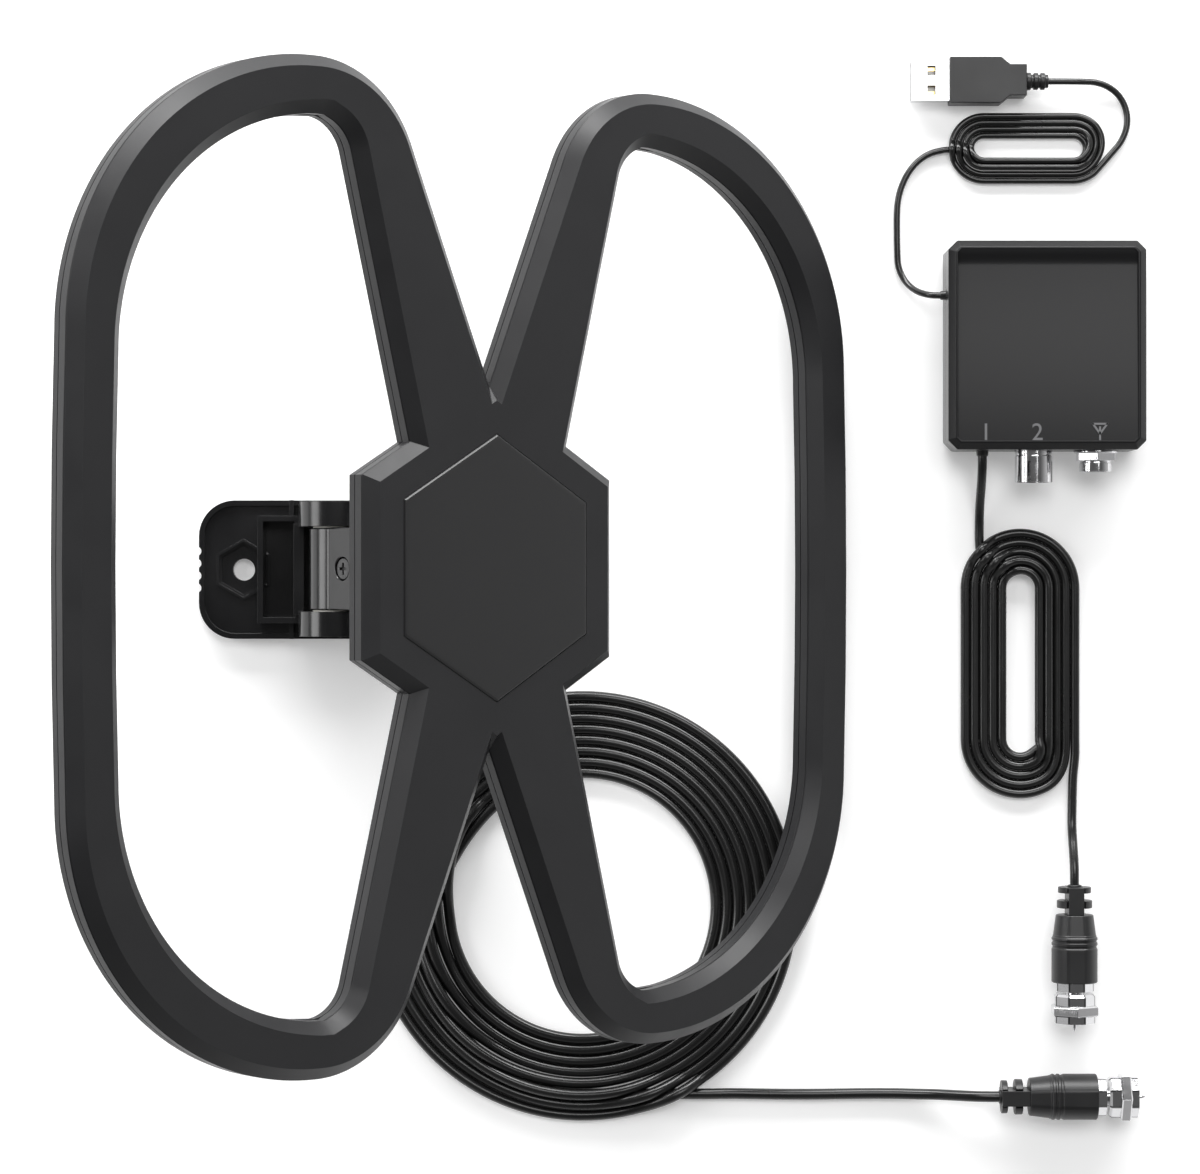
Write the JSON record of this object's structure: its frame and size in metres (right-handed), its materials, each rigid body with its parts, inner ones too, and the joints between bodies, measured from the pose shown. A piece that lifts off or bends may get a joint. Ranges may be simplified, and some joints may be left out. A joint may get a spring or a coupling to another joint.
{
  "type": "television antenna",
  "caption": "Flat butterfly television antenna with two closed loops on a tilting bracket, a coiled coaxial lead, an amplifier box and a USB power lead.",
  "frame": {"origin": "middle of the underside of the bracket's foot", "axes": "-Z out of the foot's underside; +X towards the amplifier box; +Y towards the back of the table, away from the coiled lead"},
  "size_m": [0.2946, 0.3121, 0.1758],
  "materials": {
    "shell_plastic": "satin",
    "rear_plastic": "satin",
    "cap_plastic": "semi-gloss",
    "bracket_plastic": "semi-gloss",
    "box_plastic": "semi-gloss",
    "lead_jacket": "satin",
    "plug_grip": "satin",
    "plated_metal": "polished",
    "screw_steel": "satin",
    "radiator_metal": "satin",
    "board": "satin",
    "ferrite": "matte",
    "contact_metal": "polished",
    "insulator_plastic": "matte",
    "component": "matte",
    "foot_rubber": "matte",
    "washer_plastic": "matte"
  },
  "bodies": {
    "root": {"base_plate": "bracket_plastic", "hinge_bolt": "screw_steel", "hinge_nut": "screw_steel", "friction_washers": "washer_plastic", "lead_drop": "lead_jacket", "lead_coil": "lead_jacket", "lead_tail": "lead_jacket", "main_plug_boot": "plug_grip", "main_plug_ferrule": "plated_metal", "main_plug_insulator": "insulator_plastic", "main_plug_pin": "contact_metal", "box_lower_shell": "box_plastic", "box_upper_shell": "box_plastic", "box_board": "board", "box_shield": "radiator_metal", "box_components": "component", "box_screws": "screw_steel", "box_feet": "foot_rubber", "aerial_port_body": "plated_metal", "aerial_port_nut": "plated_metal", "aerial_port_insulator": "insulator_plastic", "aerial_port_contact": "contact_metal", "tv_port_sleeve": "plated_metal", "tv_port_insulator": "insulator_plastic", "tv_port_contact": "plated_metal", "short_lead_grommet": "lead_jacket", "usb_lead_grommet": "lead_jacket", "short_lead_upper": "lead_jacket", "short_lead_hank": "lead_jacket", "short_lead_lower": "lead_jacket", "short_plug_boot": "plug_grip", "short_plug_ferrule": "plated_metal", "short_plug_insulator": "insulator_plastic", "short_plug_pin": "contact_metal", "usb_lead_box_end": "lead_jacket", "usb_lead_hank": "lead_jacket", "usb_lead_plug_end": "lead_jacket", "usb_strain_relief": "plug_grip", "usb_overmould": "plug_grip", "usb_shell": "plated_metal", "usb_tongue": "insulator_plastic", "usb_contacts": "contact_metal"},
    "head": {"front_shell": "shell_plastic", "rear_shell": "rear_plastic", "hub_cap": "cap_plastic", "radiator_left": "radiator_metal", "radiator_right": "radiator_metal", "matching_board": "board", "matching_transformer": "ferrite", "coax_clamp": "radiator_metal", "core_wire": "contact_metal", "board_screws": "screw_steel", "shell_screws": "screw_steel", "lead_gland": "lead_jacket", "arm_socket": "bracket_plastic", "arm_knuckle": "bracket_plastic", "arm_lock_screw": "screw_steel", "socket_screws": "screw_steel"},
    "main_nut": {"main_plug_nut": "plated_metal"},
    "short_nut": {"short_plug_nut": "plated_metal"}
  },
  "joints": [
    {"name": "head_tilt", "type": "hinge", "parent": "root", "child": "head", "pos_m": [0, 0, 0.037], "axis": [0, 1, 0], "range_deg": [-80, 0], "deforming": ["lead_drop"]},
    {"name": "main_nut_spin", "type": "hinge", "parent": "root", "child": "main_nut", "pos_m": [0.1919, -0.1542, 0.0076], "axis": [1, 0, 0], "continuous": true},
    {"name": "short_nut_spin", "type": "hinge", "parent": "root", "child": "short_nut", "pos_m": [0.2134, -0.0928, 0.0076], "axis": [0, -1, 0], "continuous": true}
  ]
}
